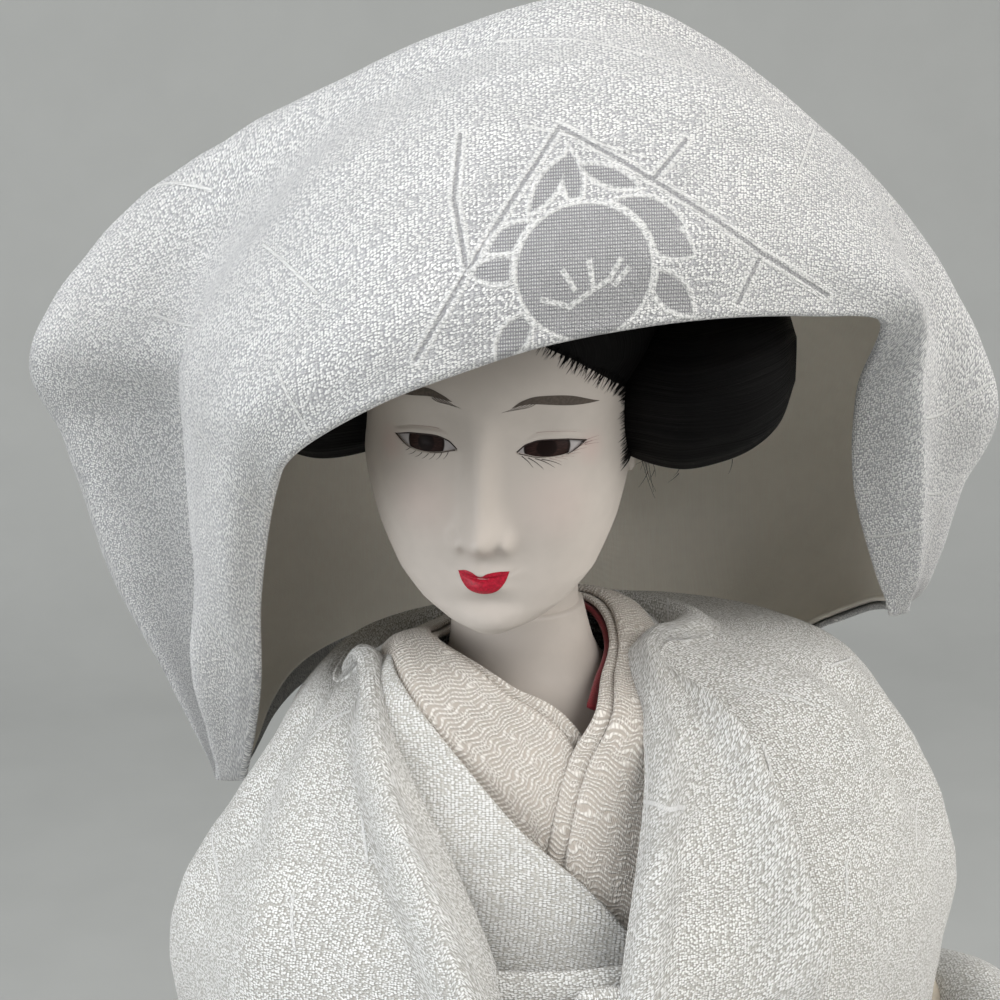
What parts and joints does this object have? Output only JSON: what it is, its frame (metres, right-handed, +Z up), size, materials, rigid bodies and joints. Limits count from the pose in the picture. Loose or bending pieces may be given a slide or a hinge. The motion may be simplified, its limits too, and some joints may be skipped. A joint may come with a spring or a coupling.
{
  "type": "bride doll",
  "caption": "Standing bride doll in a white woven hood and over-robe with layered collars and a sash, on a lacquered base; the head turns, the hands twist and the hood lifts off.",
  "frame": {"origin": "centre of the base's footprint, on the surface it stands on", "axes": "+Z up, -Y the front of the doll, +X the viewer's right"},
  "size_m": [0.24, 0.23, 0.4443],
  "materials": {
    "brocade": "white silk with raised woven dashes and lines",
    "plain_silk": "plain white silk, matte",
    "crepe": "beige-white crepe with wavy beaded lines",
    "red_silk": "dark red silk",
    "cord": "braided pale gold cord",
    "wrapping": "paper and cloth wrapping over wire",
    "hair": "black silk hair, combed, low sheen",
    "skin": "shell white, fine matte",
    "eye_glass": "dark brown glass",
    "lacquer": "black lacquer, glossy",
    "steel": "drawn steel",
    "straw": "bundled straw",
    "plain_wood": "plain turned wood"
  },
  "bodies": {
    "doll": {"base_board": "lacquer", "base_foot_front_left": "lacquer", "base_foot_front_right": "lacquer", "base_foot_back_left": "lacquer", "base_foot_back_right": "lacquer", "rod_nut": "steel", "rod_washer": "steel", "stand_rod": "steel", "torso_core": "straw", "neck_bush": "plain_wood", "bust_plate": "skin", "leg_left": "wrapping", "leg_right": "wrapping", "red_collar": "red_silk", "inner_collar": "crepe", "half_collar": "crepe", "kimono_collar": "plain_silk", "kimono_bodice": "plain_silk", "kimono_skirt": "plain_silk", "kimono_flap": "plain_silk", "obi_band": "brocade", "obi_bow": "brocade", "obi_cord": "cord", "obi_scarf": "plain_silk", "obi_scarf_knot": "plain_silk", "robe_front_left": "brocade", "robe_front_right": "brocade", "robe_back": "brocade", "robe_collar": "brocade", "sleeve_left": "brocade", "sleeve_right": "brocade", "arm_left": "wrapping", "arm_right": "wrapping"},
    "head": {"head": "skin", "neck_peg": "plain_wood", "eye_left": "eye_glass", "eye_right": "eye_glass", "wig_cap": "hair", "side_lock_left": "hair", "side_lock_right": "hair", "back_lock": "hair", "topknot": "hair"},
    "hood": {"hood_outer": "brocade", "hood_lining": "plain_silk"},
    "hand_left": {"hand_left": "skin", "wrist_pin_left": "steel"},
    "hand_right": {"hand_right": "skin", "wrist_pin_right": "steel"}
  },
  "joints": [
    {"name": "head_turn", "type": "hinge", "parent": "doll", "child": "head", "pos_m": [-0.0035, 0.003, 0.338], "axis": [0, 0, 1], "range_deg": [-20, 15]},
    {"name": "hood_lift", "type": "slide", "parent": "head", "child": "hood", "axis": [-0.14, 0, 0.9902], "range_m": [0, 0.12]},
    {"name": "hand_left_twist", "type": "hinge", "parent": "doll", "child": "hand_left", "pos_m": [0.02608, -0.07772, 0.25817], "axis": [-0.6978, -0.7147, -0.0474], "range_deg": [-25, 25]},
    {"name": "hand_right_twist", "type": "hinge", "parent": "doll", "child": "hand_right", "pos_m": [-0.02597, -0.07772, 0.25817], "axis": [0.6827, -0.7291, -0.0483], "range_deg": [-25, 25]}
  ]
}
